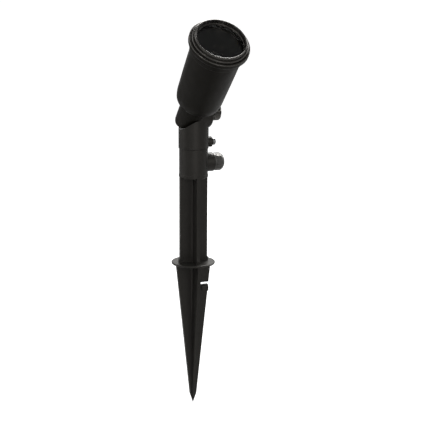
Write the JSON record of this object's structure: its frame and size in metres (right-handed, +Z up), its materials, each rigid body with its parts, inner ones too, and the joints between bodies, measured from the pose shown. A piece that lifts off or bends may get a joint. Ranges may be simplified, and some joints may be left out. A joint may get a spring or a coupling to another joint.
{
  "type": "garden spike spotlight",
  "caption": "Garden spotlight on a cruciform ground spike: hooded barrel head on a tilting knuckle and swivel, terminal collar with a side cable gland.",
  "frame": {"origin": "centre of the flange's underside, which rests on the ground; the spike runs down from it", "axes": "+Z up along the post; +X along the knuckle's pivot axis, towards the knob and the cable gland; the lamp head leans towards -Y"},
  "size_m": [0.0593, 0.1084, 0.3903],
  "materials": {
    "black_moulding": "fine satin texture",
    "black_gloss_moulding": "smooth",
    "black_rubber": "matte",
    "steel": "satin",
    "brass": "satin",
    "white_moulding": "matte",
    "grey_moulding": "matte",
    "aluminium": "turned",
    "board_white": "smooth",
    "phosphor": "matte",
    "clear_plastic": "clear",
    "glass": "clear",
    "wire_red": "insulated wire"
  },
  "bodies": {
    "spike": {"ground_spike": "black_moulding", "terminal_collar": "black_moulding", "retaining_screw": "steel", "terminal_block": "white_moulding", "terminal_clamps": "brass", "terminal_screws": "steel", "block_screw": "steel", "swivel_seal": "black_rubber", "gland_body": "black_gloss_moulding", "gland_ring": "black_rubber", "gland_seal": "black_rubber"},
    "gland_nut": {"gland_nut": "black_gloss_moulding"},
    "swivel": {"swivel_base": "black_moulding", "friction_ring": "grey_moulding", "lock_insert": "brass", "pivot_washer": "steel"},
    "lock_screw": {"lock_screw": "steel"},
    "knob": {"pivot_knob": "black_gloss_moulding", "pivot_bolt": "steel"},
    "head": {"head_knuckle": "black_moulding", "pivot_nut": "steel", "neck_seal": "black_rubber", "neck_nut": "grey_moulding", "head_barrel": "black_moulding", "bezel_seal": "black_rubber", "heat_disc": "aluminium", "disc_screws": "steel", "driver_module": "black_gloss_moulding", "driver_screws": "steel", "led_board": "board_white", "led_chip": "phosphor", "board_screws": "steel", "led_leads": "wire_red", "optic_holder": "black_moulding", "led_optic": "clear_plastic"},
    "lens_pack": {"lens_gasket": "black_rubber", "glass_lens": "glass"},
    "bezel": {"front_bezel": "black_moulding"}
  },
  "joints": [
    {"name": "pan", "type": "hinge", "parent": "spike", "child": "swivel", "pos_m": [0, 0, 0.1163], "axis": [0, 0, 1], "range_deg": [-175, 175]},
    {"name": "tilt", "type": "hinge", "parent": "swivel", "child": "head", "pos_m": [0, 0, 0.1512], "axis": [1, 0, 0], "range_deg": [-87.7, 2.3]},
    {"name": "knob_turn", "type": "hinge", "parent": "swivel", "child": "knob", "pos_m": [0.02, 0, 0.1512], "axis": [1, 0, 0], "continuous": true},
    {"name": "lock_screw_turn", "type": "hinge", "parent": "swivel", "child": "lock_screw", "pos_m": [0.018, 0, 0.1217], "axis": [1, 0, 0], "range_deg": [0, 720]},
    {"name": "gland_nut_turn", "type": "hinge", "parent": "spike", "child": "gland_nut", "pos_m": [0.026, 0, 0.1015], "axis": [1, 0, 0], "range_deg": [0, 1080]},
    {"name": "bezel_travel", "type": "slide", "parent": "head", "child": "lens_pack", "axis": [0, -0.6782, 0.7349], "range_m": [0, 0.0061]},
    {"name": "bezel_turn", "type": "hinge", "parent": "lens_pack", "child": "bezel", "pos_m": [0, -0.0651, 0.22175], "axis": [0, -0.6782, 0.7349], "range_deg": [0, 720]}
  ],
  "couplings": [
    {"joint": "bezel_travel", "follows": "bezel_turn", "m_per_rad": 0.00047746}
  ]
}
